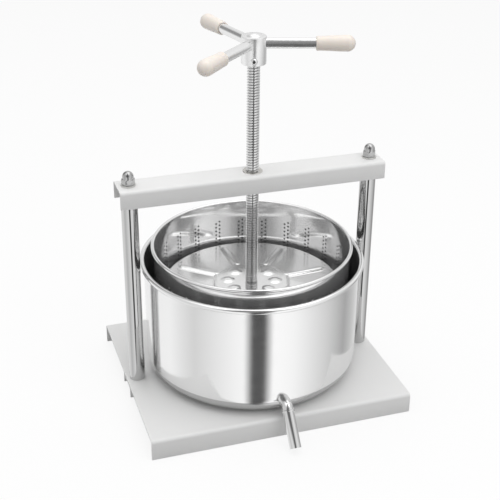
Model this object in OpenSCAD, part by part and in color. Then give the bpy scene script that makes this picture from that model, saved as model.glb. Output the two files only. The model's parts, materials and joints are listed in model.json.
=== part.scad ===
// Tabletop fruit and wine press: a screw in a steel frame drives a ribbed plate into a perforated basket
// that stands in a juice bucket with a drain spout.
// X runs along the beam, the spout points to -Y, +Z is up and the table is at Z = 0.
// The origin is the middle of the whole footprint, spout included, so the screw stands a little behind it.

/* [Juice bucket] */
// Outside diameter of the bucket's wall
bucket_d = 244; // [236:1:260]
// Height of the bucket, from its foot to the top of its rolled rim
bucket_h = 139; // [120:1:146]
// Outside radius of the bucket's bottom corner
bucket_corner_r = 24; // [18:1:28]
// Radius of the bucket's rolled rim
bucket_bead_r = 3; // [2.5:0.1:3.5]
// Thickness of the stainless sheet of both pots
steel_t = 1; // [0.8:0.1:1.2]

/* [Drain spout] */
// Outside diameter of the spout's straight tube
spout_d = 12.7; // [10:0.1:12.8]
// Outside diameter of the neck and elbow that the tube is welded into
neck_d = 13.2; // [13.2:0.1:14.5]
// Wall of the spout
spout_wall = 1; // [0.8:0.1:1.5]
// Height of the spout's neck above the bucket's foot
spout_rise = 18; // [16:0.5:22]
// Angle between the spout and the table
spout_fall = 50; // [45:1:55]
// Distance from the middle of the elbow's bend to the collar
collar_from = 5; // [4.5:0.5:8]
// Least gap between the spout and the front edge of the base
spout_edge_gap = 8; // [6:0.5:12]
// Gap between the spout's lip and the table
spout_table_gap = 2.5; // [2:0.5:8]
// Outside diameter of the collar around the elbow's lower end
collar_d = 15.4; // [15.2:0.1:18]
// Length of the collar
collar_len = 2; // [1.5:0.1:3]

/* [Pressing basket] */
// Gap between the basket's wall and the bucket's wall, where the juice runs down
juice_gap = 10.5; // [8:0.5:12]
// Height of the basket, from its foot to the top of its rolled rim
basket_h = 154; // [140:1:160]
// Outside radius of the basket's bottom corner
basket_corner_r = 18; // [14:1:20]
// Radius of the basket's rolled rim
basket_bead_r = 2; // [1.8:0.05:2.5]
// Radius of the raised middle of the basket's floor
floor_panel_r = 72; // [60:1:76]
// How far that middle is raised
floor_panel_rise = 3; // [2:0.5:4]
// Diameter of the perforations
hole_d = 2.4; // [1.8:0.1:2.6]
// Double columns of perforations around the wall
hole_pairs = 24; // [20:1:26]
// Distance between the two columns of a pair
pair_gap = 4.6; // [4:0.1:5.2]
// Distance between the holes of one column
hole_pitch = 7.5; // [7:0.5:10]
// Height from the rim down to the first hole
hole_start = 25; // [20:1:30]
// Angle by which the basket and the plate are turned in the photographed pose
inner_turn = 4.3; // [0:0.1:15]

/* [Press plate] */
// Height of the plate's middle above the table, in the photographed pose
plate_z = 129; // [110:1:150]
// Gap between the plate and the basket's wall
plate_gap = 7; // [4:0.5:10]
// Thickness of the plate's sheet
plate_t = 1.5; // [1.2:0.1:2]
// Depth of the plate's turned-down edge
plate_edge_h = 10; // [8:0.5:14]
// Outside radius of that edge's fold
plate_edge_r = 4; // [3:0.5:6]
// Height of the pressed ribs and bosses
emboss_h = 2.5; // [2:0.1:3]
// Width of a rib where it leaves the sheet
rib_w = 11; // [9:0.5:13]
// Distance from the middle to where the ribs start
rib_start = 44; // [40:1:48]
// Distance from the plate's edge to where the ribs end
rib_margin = 10; // [8:0.5:14]
// Number of ribs
rib_count = 8; // [6:1:10]
// How far the middle of the plate is raised
crown_h = 2; // [1.5:0.1:2.5]
// Width of the small round bosses around the screw
boss_w = 14; // [11:0.5:15]
// Distance from the middle to those bosses
boss_ring_r = 29; // [27:0.5:30]

/* [Screw] */
// Diameter of the screw over its thread
screw_d = 14; // [12:0.5:16]
// Length of the screw from the plate to the underside of the hub
screw_len = 256.5; // [240:0.5:290]
// Diameter of the screw's turned-down foot
foot_d = 10; // [8:0.5:10]
// Diameter of the thrust block under the plate
thrust_d = 34; // [28:1:36]
// Height of the thrust block
thrust_h = 8; // [6:0.5:10]

/* [Handle] */
// Diameter of the hub
hub_d = 26.5; // [24:0.5:30]
// Height of the hub's straight body
hub_h = 29.5; // [28:0.5:34]
// Width of the dome on top of the hub
dome_w = 16; // [12:0.5:18]
// Height of the dome
dome_h = 2.6; // [2:0.1:4]
// Diameter of the arms
arm_d = 11; // [9:0.5:11]
// Distance from the top of the hub's body down to the arms
arm_drop = 8; // [7:0.5:9]
// Distance from the screw's axis to the tip of a grip
arm_reach = 105; // [95:1:115]
// Angle of the right arm, seen from above and counted from +X
arm_turn = -16.5; // [-60:0.5:60]
// Length of a grip
grip_len = 41; // [34:1:50]
// Diameter of a grip at its outer end
grip_d = 17; // [15.5:0.1:19]
// Diameter of a grip at its inner end
grip_neck_d = 15; // [14:0.1:15.4]

/* [Frame] */
// Depth of the base, front to back
base_d = 250; // [246:1:280]
// Height of the base's top above the table
base_h = 24; // [22:1:32]
// Thickness of the folded sheet steel
sheet_t = 2; // [1.5:0.1:2.5]
// Outside radius of the folds
fold_r = 4; // [3:0.5:5]
// Distance from a post's middle to the end of the base and the beam
end_margin = 12.5; // [11:0.5:20]
// Width of the channel under the base
channel_w = 36; // [32:1:44]
// Height of that channel
channel_h = 13; // [11:0.5:15]
// Diameter of the posts
post_d = 18; // [16:0.5:20]
// Wall of the posts
post_wall = 1.2; // [1:0.1:2]
// Length of the posts between the base and the beam
post_len = 239; // [225:1:260]
// Gap between the bucket's rim and a post
post_gap = 1.5; // [1:0.5:6]
// Width of the beam
beam_w = 36; // [34:1:44]
// Height of the beam
beam_h = 20; // [18:1:26]
// Width across the flats of the threaded nut under the beam
nut_flats = 27; // [24:0.5:28]
// Height of that nut
nut_h = 16; // [12:0.5:18]
// Diameter of the nut's collar in the beam's top
nut_collar_d = 22; // [20:0.5:23]

/* [Fasteners] */
// Diameter of the tie rods
rod_d = 8; // [6:0.5:8]
// Width across the flats of the nuts on the tie rods
rod_nut_flats = 13; // [12.5:0.1:13.5]
// Height of those nuts
rod_nut_h = 6.5; // [5:0.1:8]
// Diameter of their washers
washer_d = 16; // [15.5:0.1:18]
// Thickness of their washers
washer_t = 1.6; // [1:0.1:2]
// Diameter of the hub's set screw
set_screw_d = 5; // [4:0.5:6]
// Diameter of the set screw's domed head
set_head_d = 7.4; // [7:0.1:8.5]
// Height of the set screw above the hub's foot
set_rise = 5.5; // [5:0.1:6.5]
// Angle of the set screw, counted as the right arm's is
set_turn = -106; // [-112:0.5:-96]

/* [Hidden] */
$fn = 64;

// Cuts reach this far past the faces that they open
over = 1;
// Running clearance of the screw's foot, of the screw in its nut and of the arms in the hub
play = 0.05;
// Clearance of a bolt in a drilled hole
drill_gap = 0.2;

// Heights of the frame
beam_top = base_h + post_len + sheet_t;
channel_top = base_h - sheet_t;
channel_web = channel_top - sheet_t;

// Sizes across the frame
rim_r = bucket_d/2 - steel_t + 2*bucket_bead_r;
post_span = 2*(rim_r + post_gap) + post_d;
base_w = post_span + 2*end_margin;

// The basket stands on the bucket's floor
basket_z = base_h + steel_t;
basket_r = bucket_d/2 - steel_t - juice_gap;
plate_r = basket_r - steel_t - plate_gap;
sheet_z = plate_z - crown_h;

// Rows of perforations from the first hole down to the bottom corner
hole_rows = floor((basket_h - hole_start - basket_corner_r - hole_d)/hole_pitch) + 1;
// Rings of holes in the basket's floor
floor_rings = [20, 38, 56];
floor_ring_holes = 8;

// Spout: the neck starts where its lower edge meets the inside of the bucket's corner, and a mitred elbow
// turns down just far enough out to pass the base's edge
spout_r = spout_d/2;
neck_r = neck_d/2;
neck_z = base_h + spout_rise;
corner_depth = max(bucket_corner_r - spout_rise + neck_r, 0);
neck_start = bucket_d/2 - bucket_corner_r + sqrt(pow(bucket_corner_r - steel_t, 2) - pow(corner_depth, 2));
elbow_past_edge = (spout_r + spout_edge_gap - spout_rise*cos(spout_fall))/sin(spout_fall);
elbow_y = max(base_d/2 + elbow_past_edge, bucket_d/2 + neck_r*tan(spout_fall/2));
elbow_len = collar_from + collar_len;
spout_len = (neck_z - spout_r*cos(spout_fall) - spout_table_gap)/sin(spout_fall);
spout_reach = elbow_y + spout_len*cos(spout_fall) + spout_r*sin(spout_fall);

// The press axis lies behind the middle of the footprint by half of what the spout adds in front
axis_y = (spout_reach - max(base_d/2, rim_r))/2;

// Screw and handle
hub_z = plate_z + screw_len;
screw_in_hub = hub_h - arm_drop - arm_d/2 - over;
arm_z = hub_z + hub_h - arm_drop;
arm_root = arm_d*0.68;
arm_cover = grip_len*0.75;
set_z = hub_z + set_rise;
arm_turns = [arm_turn, arm_turn - 120, arm_turn + 120];
lock_washer_d = 20;
lock_washer_t = 2;
lock_nut_flats = 16;
lock_nut_h = 8;
foot_tail = 2;
lock_z = plate_z - plate_t - thrust_h;
foot_z = lock_z - lock_washer_t - lock_nut_h - foot_tail;

// Tie rods
rod_in_cap = 9;
rod_tail = 2;
rod_bottom = channel_web - washer_t - rod_nut_h - rod_tail;
rod_top = beam_top + washer_t + rod_in_cap;

// A flat-topped channel section with rounded folds, open below, its top on the X axis
module channel_section(width, height, r) {
    translate([-width/2, -height]) square([width, height - r]);
    translate([-width/2 + r, -height]) square([width - 2*r, height]);
    for (side = [-1, 1])
        translate([side*(width/2 - r), -r]) circle(r);
}

// A folded channel of sheet steel along X, its top face at height top
module folded_channel(width, height, length, top) {
    translate([-length/2, 0, top])
        rotate([90, 0, 90])
            linear_extrude(length)
                difference() {
                    channel_section(width, height, fold_r);
                    translate([0, -sheet_t])
                        channel_section(width - 2*sheet_t, height, fold_r - sheet_t);
                }
}

// Drilled holes for the two tie rods
module rod_holes(z0, z1) {
    for (side = [-1, 1])
        translate([side*post_span/2, 0, z0 - over])
            cylinder(d = rod_d + 2*drill_gap, h = z1 - z0 + 2*over);
}

// Half of a pot's section: a flat foot, a round corner and a straight wall
module pot_half(r, h, corner) {
    square([r - corner, h]);
    translate([0, corner]) square([r, h - corner]);
    translate([r - corner, corner]) circle(corner);
}

// Half of a curled rim: a rolled edge of sheet that opens below, beside the wall
module curled_rim(r, h, bead) {
    translate([r - steel_t + bead, h - bead])
        difference() {
            circle(bead);
            circle(bead - steel_t);
            translate([steel_t - bead, -bead - over]) square([bead - steel_t, bead + over]);
        }
}

// A ring or washer
module ring(d_out, d_in, h) {
    difference() {
        cylinder(d = d_out, h = h);
        translate([0, 0, -over]) cylinder(d = d_in, h = h + 2*over);
    }
}

// A hexagon of the given width across its flats, with the corners of its upper face turned round
module hexagon(flats, h) {
    intersection() {
        cylinder(d = flats/cos(30), h = h, $fn = 6);
        cylinder(d1 = flats + 2*h + flats*0.06, d2 = flats*1.03, h = h);
    }
}

// Where something is repeated at both posts
module at_posts(z) {
    for (side = [-1, 1])
        translate([side*post_span/2, 0, z]) children();
}

module base_plate() {
    color("white")
        difference() {
            folded_channel(base_d, base_h, base_w, base_h);
            rod_holes(channel_top, base_h);
        }
}

module base_channel() {
    color("whitesmoke")
        difference() {
            folded_channel(channel_w, channel_h, base_w, channel_top);
            rod_holes(channel_web, channel_top);
        }
}

module post(side) {
    color("silver")
        translate([side*post_span/2, 0, base_h])
            ring(post_d, post_d - 2*post_wall, post_len);
}

module tie_rod(side) {
    color("darkgray")
        translate([side*post_span/2, 0, rod_bottom])
            cylinder(d = rod_d, h = rod_top - rod_bottom);
}

module top_beam() {
    color("white")
        difference() {
            folded_channel(beam_w, beam_h, base_w, beam_top);
            rod_holes(beam_top - sheet_t, beam_top);
            translate([0, 0, beam_top - sheet_t - over])
                cylinder(d = nut_collar_d + 2*play, h = sheet_t + 2*over);
        }
}

// The nut's collar stands a little proud of the beam, and its hexagon is welded under the web
module drive_nut() {
    collar_proud = 0.8;
    color("gainsboro")
        difference() {
            union() {
                translate([0, 0, beam_top - sheet_t])
                    rotate([180, 0, 0])
                        hexagon(nut_flats, nut_h);
                translate([0, 0, beam_top - sheet_t])
                    cylinder(d = nut_collar_d, h = sheet_t + collar_proud);
            }
            translate([0, 0, beam_top - sheet_t - nut_h - over])
                cylinder(d = screw_d + 2*play, h = nut_h + sheet_t + collar_proud + 2*over);
        }
}

// A domed nut with a blind thread
module cap_nut() {
    dome_r = rod_nut_flats*0.47;
    neck_h = 2;
    difference() {
        union() {
            hexagon(rod_nut_flats, rod_nut_h);
            cylinder(r = dome_r, h = rod_nut_h + neck_h);
            translate([0, 0, rod_nut_h + neck_h]) sphere(dome_r);
        }
        translate([0, 0, -over])
            cylinder(d = rod_d + 2*play, h = rod_in_cap + play + over);
    }
}

module cap_nuts() {
    color("silver")
        at_posts(beam_top + washer_t) cap_nut();
}

module beam_washers() {
    color("lightgray")
        at_posts(beam_top) ring(washer_d, rod_d + 2*drill_gap, washer_t);
}

module foot_washers() {
    color("lightgray")
        at_posts(channel_web - washer_t) ring(washer_d, rod_d + 2*drill_gap, washer_t);
}

module foot_nuts() {
    color("silver")
        at_posts(channel_web - washer_t)
            rotate([180, 0, 0])
                difference() {
                    hexagon(rod_nut_flats, rod_nut_h);
                    translate([0, 0, -over])
                        cylinder(d = rod_d + 2*play, h = rod_nut_h + 2*over);
                }
}

module juice_bucket() {
    color("lightgray")
        difference() {
            translate([0, 0, base_h])
                rotate_extrude() {
                    difference() {
                        pot_half(bucket_d/2, bucket_h - bucket_bead_r, bucket_corner_r);
                        translate([0, steel_t])
                            pot_half(bucket_d/2 - steel_t, bucket_h, bucket_corner_r - steel_t);
                    }
                    curled_rim(bucket_d/2, bucket_h, bucket_bead_r);
                }
            translate([0, 0, neck_z])
                rotate([90, 0, 0])
                    cylinder(r = neck_r, h = bucket_d);
        }
}

// Turns a child that lies along +Z into the spout's straight part, starting at the elbow
module along_spout() {
    translate([0, -elbow_y, neck_z])
        rotate([90 + spout_fall, 0, 0]) children();
}

// One side of the elbow's mitre plane: 1 is the neck's side, 0 the lip's
module mitre_side(side) {
    block = 4*neck_d;
    translate([0, -elbow_y, neck_z])
        rotate([spout_fall/2, 0, 0])
            translate([-block/2, (side - 1)*block, -block/2]) cube(block);
}

// The spout's neck, welded into the bucket's wall
module spout_neck() {
    color("silver")
        difference() {
            intersection() {
                translate([0, -neck_start, neck_z])
                    rotate([90, 0, 0])
                        cylinder(r = neck_r, h = elbow_y - neck_start + neck_d);
                mitre_side(1);
            }
            translate([0, over - neck_start, neck_z])
                rotate([90, 0, 0])
                    cylinder(r = neck_r - spout_wall, h = elbow_y - neck_start + 2*neck_d);
        }
}

// The short turned-down end of the neck, welded to it in the mitre
module spout_elbow() {
    color("silver")
        difference() {
            intersection() {
                along_spout()
                    translate([0, 0, -neck_d]) cylinder(r = neck_r, h = neck_d + elbow_len);
                mitre_side(0);
            }
            along_spout()
                translate([0, 0, -2*neck_d])
                    cylinder(r = neck_r - spout_wall, h = 2*neck_d + elbow_len + over);
        }
}

// The spout's straight tube, welded to the elbow's end
module drain_spout() {
    color("silver")
        along_spout()
            translate([0, 0, elbow_len])
                ring(spout_d, spout_d - 2*spout_wall, spout_len - elbow_len);
}

module spout_collar() {
    color("silver")
        along_spout()
            translate([0, 0, collar_from]) ring(collar_d, neck_d, collar_len);
}

// One short drill through the basket's wall, at an angle and a height above the basket's foot
module wall_drill(angle, z) {
    rotate([0, 0, angle])
        translate([basket_r - steel_t - over, 0, z])
            rotate([0, 90, 0])
                cylinder(d = hole_d, h = steel_t + 2*over, $fn = 16);
}

// Double columns of holes, the left one of each pair half a pitch lower
module wall_perforations() {
    half = pair_gap/2/basket_r*180/PI;
    for (pair = [0:hole_pairs - 1])
        for (side = [-1, 1])
            for (row = [0:hole_rows - 1])
                wall_drill(pair*360/hole_pairs - side*half,
                    basket_h - hole_start - (row + (side < 0 ? 0.5 : 0))*hole_pitch);
}

module floor_perforations() {
    for (i = [0:len(floor_rings) - 1])
        for (k = [0:floor_ring_holes*(i + 1) - 1])
            rotate([0, 0, k*360/(floor_ring_holes*(i + 1))])
                translate([floor_rings[i], 0, floor_panel_rise - over])
                    cylinder(d = hole_d, h = steel_t + 2*over, $fn = 16);
}

// The raised middle of the floor, as the half section that it lifts
module floor_panel(grow) {
    polygon([[0, -over], [floor_panel_r + grow, -over], [floor_panel_r + grow, 0],
        [floor_panel_r - floor_panel_rise + grow, floor_panel_rise], [0, floor_panel_rise]]);
}

module pressing_basket() {
    color("lightgray")
        translate([0, 0, basket_z])
            rotate([0, 0, inner_turn])
                difference() {
                    rotate_extrude() {
                        difference() {
                            pot_half(basket_r, basket_h - basket_bead_r, basket_corner_r);
                            difference() {
                                translate([0, steel_t])
                                    pot_half(basket_r - steel_t, basket_h, basket_corner_r - steel_t);
                                translate([0, steel_t]) floor_panel(steel_t/2);
                            }
                            floor_panel(0);
                        }
                        curled_rim(basket_r, basket_h, basket_bead_r);
                    }
                    wall_perforations();
                    floor_perforations();
                }
}

// A pressed rib: the cap of a long round bar that lies just under the sheet, inset by the sheet's thickness below
module rib(inset) {
    bar_r = (rib_w*rib_w/4 + emboss_h*emboss_h)/(2*emboss_h);
    first = rib_start;
    last = plate_r - rib_margin - rib_w/2;
    translate([first, 0, sheet_z + emboss_h - bar_r]) {
        rotate([0, 90, 0]) cylinder(r = bar_r - inset, h = last - first);
        sphere(bar_r - inset);
        translate([last - first, 0, 0]) sphere(bar_r - inset);
    }
}

// A pressed round boss: the cap of a ball under the raised middle
module round_boss(inset) {
    ball_r = (boss_w*boss_w/4 + emboss_h*emboss_h)/(2*emboss_h);
    translate([boss_ring_r, 0, plate_z + emboss_h/2 - ball_r]) sphere(ball_r - inset);
}

// Everything that is pressed up out of the plate's sheet
module plate_relief(inset) {
    cylinder(r = rib_start + rib_w/4 - inset, h = plate_z - inset, $fn = rib_count);
    for (k = [0:rib_count - 1]) {
        rotate([0, 0, k*360/rib_count]) rib(inset);
        rotate([0, 0, (k + 0.5)*360/rib_count]) round_boss(inset);
    }
}

// Half section of the plate's outer or inner form: a flat top with a rounded edge
module plate_half(r, top, corner) {
    square([r - corner, top]);
    square([r, top - corner]);
    translate([r - corner, top - corner]) circle(corner);
}

module press_plate() {
    bottom = sheet_z - plate_edge_h;
    color("silver")
        rotate([0, 0, inner_turn])
            difference() {
                union() {
                    translate([0, 0, bottom])
                        rotate_extrude() plate_half(plate_r, plate_edge_h, plate_edge_r);
                    intersection() {
                        plate_relief(0);
                        translate([0, 0, bottom]) cylinder(r = plate_r, h = plate_edge_h + 3*emboss_h);
                    }
                }
                translate([0, 0, bottom - over])
                    rotate_extrude()
                        plate_half(plate_r - plate_t, plate_edge_h - plate_t + over, plate_edge_r - plate_t);
                intersection() {
                    plate_relief(plate_t);
                    translate([0, 0, bottom - over])
                        cylinder(r = plate_r - plate_t, h = plate_edge_h + 3*emboss_h);
                }
                translate([0, 0, bottom - over])
                    cylinder(d = foot_d + 2*drill_gap, h = plate_edge_h + 3*emboss_h);
            }
}

module thrust_block() {
    color("gray")
        translate([0, 0, lock_z])
            ring(thrust_d, foot_d + 2*play, thrust_h);
}

// The screw's shoulder stands on the plate, and its foot passes through plate and thrust block
module lead_screw() {
    color("darkgray") {
        translate([0, 0, plate_z + play])
            cylinder(d = screw_d, h = screw_len + screw_in_hub - play);
        translate([0, 0, foot_z])
            cylinder(d = foot_d, h = plate_z - foot_z + over);
    }
}

module retaining_washer() {
    color("lightgray")
        translate([0, 0, lock_z - play - lock_washer_t])
            ring(lock_washer_d, foot_d + 2*play, lock_washer_t);
}

module retaining_nut() {
    color("silver")
        translate([0, 0, lock_z - play - lock_washer_t])
            rotate([180, 0, 0])
                difference() {
                    hexagon(lock_nut_flats, lock_nut_h);
                    translate([0, 0, -over])
                        cylinder(d = foot_d + 2*play, h = lock_nut_h + 2*over);
                }
}

// Places a child that lies along +X at one of the three arms
module at_arm(turn) {
    translate([0, 0, arm_z]) rotate([0, 0, turn]) children();
}

module hub() {
    chamfer = 1;
    cap_r = (dome_w*dome_w/4 + dome_h*dome_h)/(2*dome_h);
    color("gainsboro")
        difference() {
            union() {
                translate([0, 0, hub_z]) {
                    cylinder(d1 = hub_d - 2*chamfer, d2 = hub_d, h = chamfer);
                    translate([0, 0, chamfer]) cylinder(d = hub_d, h = hub_h - 2*chamfer);
                    translate([0, 0, hub_h - chamfer])
                        cylinder(d1 = hub_d, d2 = hub_d - 2*chamfer, h = chamfer);
                }
                intersection() {
                    translate([0, 0, hub_z + hub_h + dome_h - cap_r]) sphere(cap_r);
                    translate([0, 0, hub_z + hub_h - over]) cylinder(d = dome_w, h = dome_h + 2*over);
                }
            }
            translate([0, 0, hub_z - over])
                cylinder(d = screw_d + 2*play, h = screw_in_hub + play + over);
            for (turn = arm_turns)
                at_arm(turn)
                    translate([arm_root - play, 0, 0])
                        rotate([0, 90, 0])
                            cylinder(d = arm_d + 2*play, h = hub_d);
            translate([0, 0, set_z])
                rotate([0, 0, set_turn])
                    rotate([0, 90, 0])
                        cylinder(d = set_screw_d + 2*play, h = hub_d);
        }
}

// A button-head screw that locks the hub to the lead screw
module hub_set_screw() {
    head_h = 2.4;
    head_r = (set_head_d*set_head_d/4 + head_h*head_h)/(2*head_h);
    socket_flats = 3;
    color("silver")
        translate([0, 0, set_z])
            rotate([0, 0, set_turn])
                rotate([0, 90, 0])
                    difference() {
                        union() {
                            translate([0, 0, screw_d/2 + play])
                                cylinder(d = set_screw_d, h = (hub_d - screw_d)/2 + over);
                            intersection() {
                                translate([0, 0, hub_d/2 + head_h - head_r]) sphere(head_r);
                                translate([0, 0, hub_d/2 + play])
                                    cylinder(d = set_head_d, h = head_h);
                            }
                        }
                        translate([0, 0, hub_d/2 + head_h/2])
                            cylinder(d = socket_flats/cos(30), h = head_h, $fn = 6);
                    }
}

module arm(turn) {
    color("silver")
        at_arm(turn)
            translate([arm_root, 0, 0])
                rotate([0, 90, 0])
                    cylinder(d = arm_d, h = arm_reach - grip_len + arm_cover - arm_root);
}

// Half section of a grip: a slow taper, a round inner lip and a full round end
module grip_half() {
    lip_r = 1.5;
    inner_r = grip_neck_d/2;
    end_r = grip_d/2;
    translate([inner_r - lip_r, lip_r]) circle(lip_r);
    polygon([[0, 0], [inner_r - lip_r, 0], [inner_r, lip_r], [end_r, grip_len - end_r], [0, grip_len - end_r]]);
    intersection() {
        translate([0, grip_len - end_r]) circle(end_r);
        translate([0, grip_len - end_r]) square([end_r, end_r]);
    }
}

module grip(turn) {
    color("oldlace")
        at_arm(turn)
            translate([arm_reach - grip_len, 0, 0])
                rotate([0, 90, 0])
                    difference() {
                        rotate_extrude() grip_half();
                        translate([0, 0, -over])
                            cylinder(d = arm_d + 2*play, h = arm_cover + play + over);
                    }
}

// Moves what is drawn about the press axis into the part's own frame
module on_axis() {
    translate([0, axis_y, 0]) children();
}

on_axis() base_plate();
on_axis() base_channel();
on_axis() post(-1);  // left_post
on_axis() post(1);  // right_post
on_axis() tie_rod(-1);  // left_tie_rod
on_axis() tie_rod(1);  // right_tie_rod
on_axis() top_beam();
on_axis() drive_nut();
on_axis() cap_nuts();
on_axis() beam_washers();
on_axis() foot_nuts();
on_axis() foot_washers();
on_axis() juice_bucket();
on_axis() spout_neck();
on_axis() spout_elbow();
on_axis() drain_spout();
on_axis() spout_collar();
on_axis() pressing_basket();
on_axis() press_plate();
on_axis() thrust_block();
on_axis() lead_screw();
on_axis() retaining_washer();
on_axis() retaining_nut();
on_axis() hub();
on_axis() hub_set_screw();
on_axis() arm(arm_turns[0]);  // right_arm
on_axis() arm(arm_turns[1]);  // front_arm
on_axis() arm(arm_turns[2]);  // back_arm
on_axis() grip(arm_turns[0]);  // right_grip
on_axis() grip(arm_turns[1]);  // front_grip
on_axis() grip(arm_turns[2]);  // back_grip
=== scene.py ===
import json
import math
import bmesh
import bpy
from mathutils import Matrix, Vector


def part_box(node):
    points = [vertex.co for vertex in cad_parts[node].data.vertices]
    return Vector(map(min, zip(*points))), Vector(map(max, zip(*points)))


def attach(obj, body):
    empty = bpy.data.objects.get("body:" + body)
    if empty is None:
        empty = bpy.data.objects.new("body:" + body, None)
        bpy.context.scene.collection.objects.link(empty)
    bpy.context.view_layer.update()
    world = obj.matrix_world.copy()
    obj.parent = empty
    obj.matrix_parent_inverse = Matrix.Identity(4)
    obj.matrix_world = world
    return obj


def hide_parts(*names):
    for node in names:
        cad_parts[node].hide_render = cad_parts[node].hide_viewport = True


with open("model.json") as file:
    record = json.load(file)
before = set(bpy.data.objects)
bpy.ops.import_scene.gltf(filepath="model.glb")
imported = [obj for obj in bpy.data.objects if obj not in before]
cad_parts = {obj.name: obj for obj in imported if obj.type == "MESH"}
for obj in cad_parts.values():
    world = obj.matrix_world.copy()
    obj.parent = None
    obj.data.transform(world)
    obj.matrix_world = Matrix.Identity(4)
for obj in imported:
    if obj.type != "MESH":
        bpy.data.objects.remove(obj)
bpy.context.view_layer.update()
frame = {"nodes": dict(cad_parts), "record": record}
MM = 0.001
TAU = 2 * math.pi

# The press axis in the part's frame is the screw's. Every piece is made about it, in millimetres.
screw_low, screw_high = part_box("lead_screw")
AXIS = Vector(((screw_low.x + screw_high.x) / 2, (screw_low.y + screw_high.y) / 2, 0))


def size_of(node):
    """Size, low corner and high corner of a CAD node's box, in millimetres."""
    lo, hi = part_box(node)
    return [(b - a) / MM for a, b in zip(lo, hi)], [a / MM for a in lo], [b / MM for b in hi]


# Materials.

def rgb(v, tint=(1, 1, 1)):
    return (v * tint[0], v * tint[1], v * tint[2], 1)


def new_material(name):
    mat = bpy.data.materials.new(name)
    mat.use_nodes = True
    nt = mat.node_tree
    nt.nodes.clear()
    out = nt.nodes.new("ShaderNodeOutputMaterial")
    bsdf = nt.nodes.new("ShaderNodeBsdfPrincipled")
    nt.links.new(bsdf.outputs["BSDF"], out.inputs["Surface"])
    return mat, nt, bsdf


def object_coords(nt, scale=(1, 1, 1)):
    tc = nt.nodes.new("ShaderNodeTexCoord")
    mp = nt.nodes.new("ShaderNodeMapping")
    mp.inputs["Scale"].default_value = scale
    nt.links.new(tc.outputs["Object"], mp.inputs["Vector"])
    return mp.outputs["Vector"]


def noise(nt, vec, scale, detail):
    n = nt.nodes.new("ShaderNodeTexNoise")
    n.inputs["Scale"].default_value = scale
    n.inputs["Detail"].default_value = detail
    n.inputs["Roughness"].default_value = 0.5
    nt.links.new(vec, n.inputs["Vector"])
    return n.outputs["Fac"]


def remap(nt, value, lo, hi):
    """Spreads the middle of a noise, 0.3 to 0.7, over lo to hi."""
    m = nt.nodes.new("ShaderNodeMapRange")
    m.inputs["From Min"].default_value = 0.3
    m.inputs["From Max"].default_value = 0.7
    m.inputs["To Min"].default_value = lo
    m.inputs["To Max"].default_value = hi
    nt.links.new(value, m.inputs["Value"])
    return m.outputs["Result"]


def bump(nt, height, strength, distance):
    b = nt.nodes.new("ShaderNodeBump")
    b.inputs["Strength"].default_value = strength
    b.inputs["Distance"].default_value = distance
    nt.links.new(height, b.inputs["Height"])
    return b.outputs["Normal"]


def ramp(nt, fac, stops):
    """A straight colour ramp through (position, colour) stops; a bare number is a grey."""
    stops = [(p, c if isinstance(c, tuple) else rgb(c)) for p, c in stops]
    r = nt.nodes.new("ShaderNodeValToRGB")
    r.color_ramp.interpolation = "LINEAR"
    el = r.color_ramp.elements
    el[0].position, el[0].color = stops[0]
    el[1].position, el[1].color = stops[-1]
    for p, c in stops[1:-1]:
        el.new(p).color = c
    nt.links.new(fac, r.inputs["Fac"])
    return r.outputs["Color"]


def light_path(nt, ray):
    return nt.nodes.new("ShaderNodeLightPath").outputs[ray]


def mix_shaders(nt, fac, first, second):
    """Mixes two shaders; fac is a number or the socket that says how much of the second is seen."""
    mix = nt.nodes.new("ShaderNodeMixShader")
    if isinstance(fac, float):
        mix.inputs["Fac"].default_value = fac
    else:
        nt.links.new(fac, mix.inputs["Fac"])
    nt.links.new(first, mix.inputs[1])
    nt.links.new(second, mix.inputs[2])
    return mix.outputs["Shader"]


def powder_coat():
    mat, nt, b = new_material("powder_coat")
    v = object_coords(nt)
    b.inputs["Base Color"].default_value = rgb(0.80, (1.0, 1.0, 0.995))
    b.inputs["Specular IOR Level"].default_value = 0.45
    wander = noise(nt, v, scale=60.0, detail=2.0)
    grain = noise(nt, v, scale=900.0, detail=2.0)
    nt.links.new(remap(nt, wander, 0.36, 0.44), b.inputs["Roughness"])
    nt.links.new(bump(nt, grain, strength=0.05, distance=0.0002), b.inputs["Normal"])
    return mat


def metal(name, base, rough, tint=(1, 1, 1), scale=(1, 1, 1), share=1.0):
    """A metal whose roughness wanders between the two of rough; a share under 1 gives it a soft part."""
    mat, nt, b = new_material(name)
    v = object_coords(nt, scale)
    b.inputs["Base Color"].default_value = rgb(base, tint)
    b.inputs["Metallic"].default_value = share
    nt.links.new(remap(nt, noise(nt, v, scale=45.0, detail=3.0), *rough), b.inputs["Roughness"])
    return mat


def grip_plastic():
    mat, nt, b = new_material("ivory_grip")
    v = object_coords(nt)
    ivory = [(0.35, (0.84, 0.768, 0.70, 1)), (0.65, (0.875, 0.81, 0.745, 1))]
    nt.links.new(ramp(nt, noise(nt, v, scale=30.0, detail=2.0), ivory), b.inputs["Base Color"])
    b.inputs["Roughness"].default_value = 0.28
    b.inputs["Subsurface Weight"].default_value = 0.15
    b.inputs["Subsurface Radius"].default_value = (0.004, 0.003, 0.002)
    b.inputs["Subsurface Scale"].default_value = 0.5
    grain = noise(nt, v, scale=300.0, detail=1.0)
    nt.links.new(bump(nt, grain, strength=0.02, distance=0.0002), b.inputs["Normal"])
    return mat


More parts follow.
